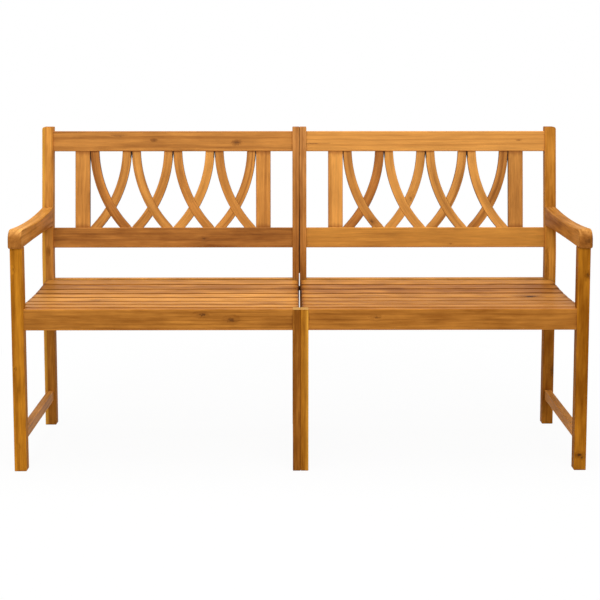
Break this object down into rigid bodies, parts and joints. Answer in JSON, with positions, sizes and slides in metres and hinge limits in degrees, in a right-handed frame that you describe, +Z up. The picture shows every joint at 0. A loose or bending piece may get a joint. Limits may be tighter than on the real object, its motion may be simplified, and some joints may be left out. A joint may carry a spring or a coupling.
{
  "type": "garden bench",
  "caption": "Slatted wooden garden bench made as joined halves, with a leaning back of crossed bent slats, a dished seat and hollowed armrests.",
  "frame": {"origin": "on the floor, under the middle of the bench's bounding box", "axes": "+X along the bench to the sitter's left hand (the right side in the picture), +Y to the back, +Z up"},
  "size_m": [1.584, 0.5661, 0.9225],
  "materials": {
    "frame_wood": "oiled, satin",
    "seat_wood": "oiled, satin",
    "back_slat_wood": "oiled, satin",
    "zinc_steel": "zinc plated",
    "black_spacer": "matt"
  },
  "bodies": {
    "root": {"arm_bolts": "zinc_steel", "armrest_left": "frame_wood", "armrest_right": "frame_wood", "back_lower_rail_left": "frame_wood", "back_lower_rail_right": "frame_wood", "back_top_rail_left": "frame_wood", "back_top_rail_right": "frame_wood", "barrel_nuts": "zinc_steel", "frame_bolts": "zinc_steel", "front_seat_rail_left": "frame_wood", "front_seat_rail_right": "frame_wood", "inner_back_slat_left": "back_slat_wood", "inner_back_slat_right": "back_slat_wood", "inner_front_leg_left": "frame_wood", "inner_front_leg_right": "frame_wood", "inner_rear_post_left": "frame_wood", "inner_rear_post_right": "frame_wood", "inner_side_rail_left": "frame_wood", "inner_side_rail_right": "frame_wood", "inner_stretcher_left": "frame_wood", "inner_stretcher_right": "frame_wood", "joining_spacer": "black_spacer", "joining_studs": "zinc_steel", "lattice_cross_1_left": "back_slat_wood", "lattice_cross_1_right": "back_slat_wood", "lattice_cross_2_left": "back_slat_wood", "lattice_cross_2_right": "back_slat_wood", "lattice_cross_3_left": "back_slat_wood", "lattice_cross_3_right": "back_slat_wood", "lattice_cross_4_left": "back_slat_wood", "lattice_cross_4_right": "back_slat_wood", "outer_back_slat_left": "back_slat_wood", "outer_back_slat_right": "back_slat_wood", "outer_front_leg_left": "frame_wood", "outer_front_leg_right": "frame_wood", "outer_rear_post_left": "frame_wood", "outer_rear_post_right": "frame_wood", "outer_side_rail_left": "frame_wood", "outer_side_rail_right": "frame_wood", "outer_stretcher_left": "frame_wood", "outer_stretcher_right": "frame_wood", "rear_seat_rail_left": "frame_wood", "rear_seat_rail_right": "frame_wood", "seat_slat_1_left": "seat_wood", "seat_slat_1_right": "seat_wood", "seat_slat_2_left": "seat_wood", "seat_slat_2_right": "seat_wood", "seat_slat_3_left": "seat_wood", "seat_slat_3_right": "seat_wood", "seat_slat_4_left": "seat_wood", "seat_slat_4_right": "seat_wood", "seat_slat_5_left": "seat_wood", "seat_slat_5_right": "seat_wood", "seat_slat_6_left": "seat_wood", "seat_slat_6_right": "seat_wood", "seat_slat_7_left": "seat_wood", "seat_slat_7_right": "seat_wood", "slat_screws": "zinc_steel"}
  },
  "joints": []
}
